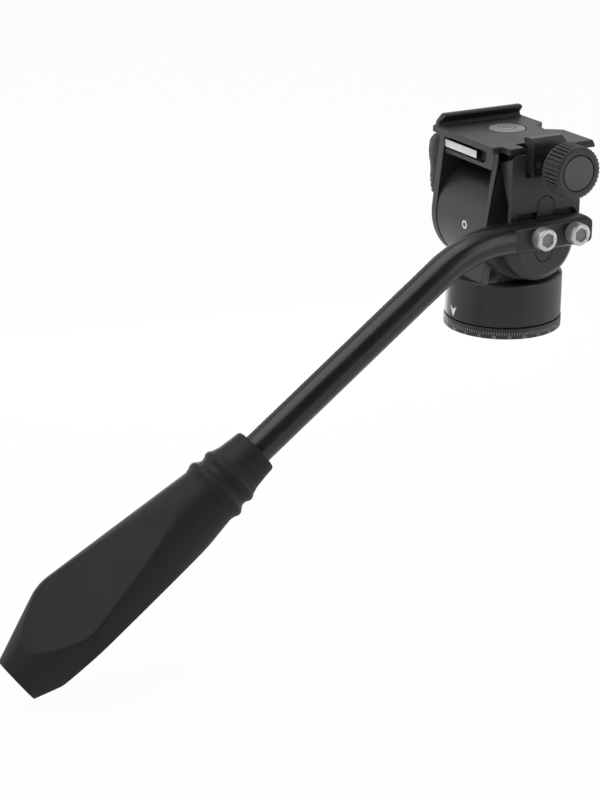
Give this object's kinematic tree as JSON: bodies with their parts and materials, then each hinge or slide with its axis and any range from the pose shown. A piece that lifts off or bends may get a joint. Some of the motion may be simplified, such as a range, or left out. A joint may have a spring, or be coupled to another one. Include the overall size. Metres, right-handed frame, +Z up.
{
  "type": "fluid video head",
  "caption": "Compact fluid video head with panning base, tilting frame, dovetail clamp with knob, lock lever and a bent pan handle with a faceted rubber grip.",
  "frame": {"origin": "mouth of the tripod socket, at the centre of the base's underside, on the pan axis", "axes": "+Z up along the pan axis, +Y the way the camera looks, +X the operator's right, along the tilt axis; the handle runs back along -Y"},
  "size_m": [0.0822, 0.2486, 0.1775],
  "materials": {
    "black_body": "satin black coating on cast aluminium",
    "black_anodised": "smooth black anodised aluminium",
    "bare_aluminium": "turned",
    "steel": "turned",
    "stainless": "polished stainless steel",
    "bronze": "sintered bronze",
    "friction_plastic": "acetal",
    "black_plastic": "fine grain",
    "cap_grey": "smooth",
    "pale_strip": "pale inlay",
    "level_grey": "satin",
    "level_glass": "clear vial",
    "rubber": "moulded, fine grain"
  },
  "bodies": {
    "base": {"scale_ring": "black_body", "base_plate": "black_body", "pan_spindle": "steel", "thread_insert": "steel", "thrust_washer": "friction_plastic", "spindle_washer": "steel", "spindle_nut": "steel"},
    "pan": {"pan_housing": "black_body", "pan_bush": "bronze", "pan_drag_ring": "friction_plastic", "pan_lock_pad": "friction_plastic", "drum_caps": "bare_aluminium", "axle_bushes": "bronze", "drag_sleeve": "friction_plastic"},
    "pan_lock": {"pan_lock_screw": "steel", "pan_lock_knob": "black_plastic"},
    "tilt": {"yoke": "black_body", "handle_pad": "black_body", "name_strip": "pale_strip", "clamp_plate": "black_body", "level_cup": "level_grey", "level_glass": "level_glass", "tilt_axle": "steel", "tilt_rotor": "bare_aluminium", "handle_tube": "black_anodised", "handle_bolts": "stainless", "grip": "rubber"},
    "jaw": {"movable_jaw": "black_body", "jaw_pins": "steel"},
    "knob": {"clamp_screw": "steel", "clamp_knob": "black_anodised", "knob_cap": "cap_grey"},
    "lever": {"lock_lever": "black_plastic", "lever_stud": "steel", "lever_cap": "cap_grey"}
  },
  "joints": [
    {"name": "pan_turn", "type": "hinge", "parent": "base", "child": "pan", "pos_m": [0, 0, 0], "axis": [0, 0, 1], "continuous": true},
    {"name": "tilt_turn", "type": "hinge", "parent": "pan", "child": "tilt", "pos_m": [0, 0, 0.043], "axis": [1, 0, 0], "range_deg": [-80, 45]},
    {"name": "knob_turn", "type": "hinge", "parent": "jaw", "child": "knob", "pos_m": [0.0365, 0, 0.0701], "axis": [1, 0, 0], "range_deg": [-2925, 0]},
    {"name": "jaw_slide", "type": "slide", "parent": "tilt", "child": "jaw", "axis": [1, 0, 0], "range_m": [-0.0065, 0]},
    {"name": "lever_turn", "type": "hinge", "parent": "tilt", "child": "lever", "pos_m": [-0.0222, 0, 0.043], "axis": [1, 0, 0], "range_deg": [-60, 0]},
    {"name": "pan_lock_turn", "type": "hinge", "parent": "pan", "child": "pan_lock", "pos_m": [-0.024, 0, 0.0104], "axis": [1, 0, 0], "range_deg": [-90, 0]}
  ],
  "couplings": [
    {"joint": "knob_turn", "follows": "jaw_slide", "rad_per_m": 7854}
  ]
}
